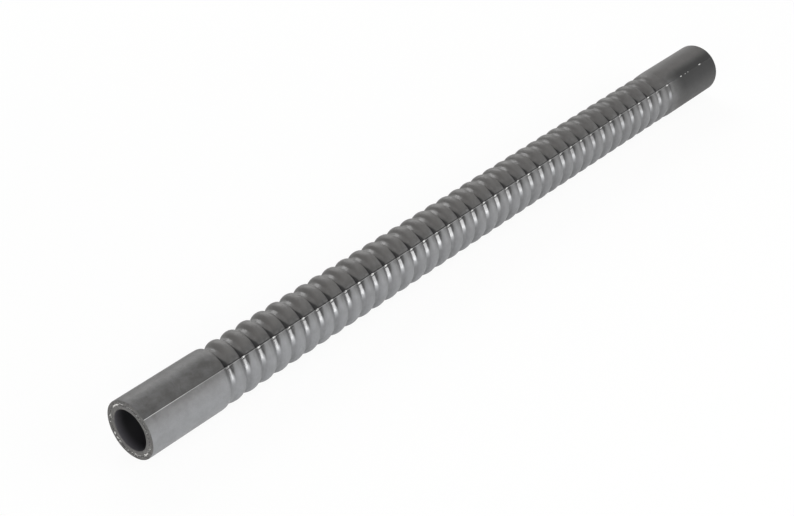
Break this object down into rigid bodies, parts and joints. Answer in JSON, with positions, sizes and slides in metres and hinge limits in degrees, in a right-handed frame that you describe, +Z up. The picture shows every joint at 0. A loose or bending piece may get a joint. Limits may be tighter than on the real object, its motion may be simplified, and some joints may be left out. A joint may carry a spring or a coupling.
{
  "type": "heater hose",
  "caption": "Straight rubber heater hose with a smooth clamp cuff at each end, a helically corrugated body and a yarn ring in the cut faces.",
  "frame": {"origin": "centre of the near mouth, on the bore's axis", "axes": "+X along the bore to the far mouth, +Z up with the hose lying on its side 13.75 mm below the axis"},
  "size_m": [0.43, 0.0274, 0.0274],
  "materials": {
    "tube_rubber": "matte black rubber, dusty grey at the cut",
    "yarn": "undyed textile yarn, cut ends fuzzy and pale",
    "cover_rubber": "moulded dark grey rubber, satin, lightly rubbed on the ridges"
  },
  "bodies": {
    "root": {"inner_tube": "tube_rubber", "yarn_reinforcement": "yarn", "outer_cover": "cover_rubber"}
  },
  "joints": []
}
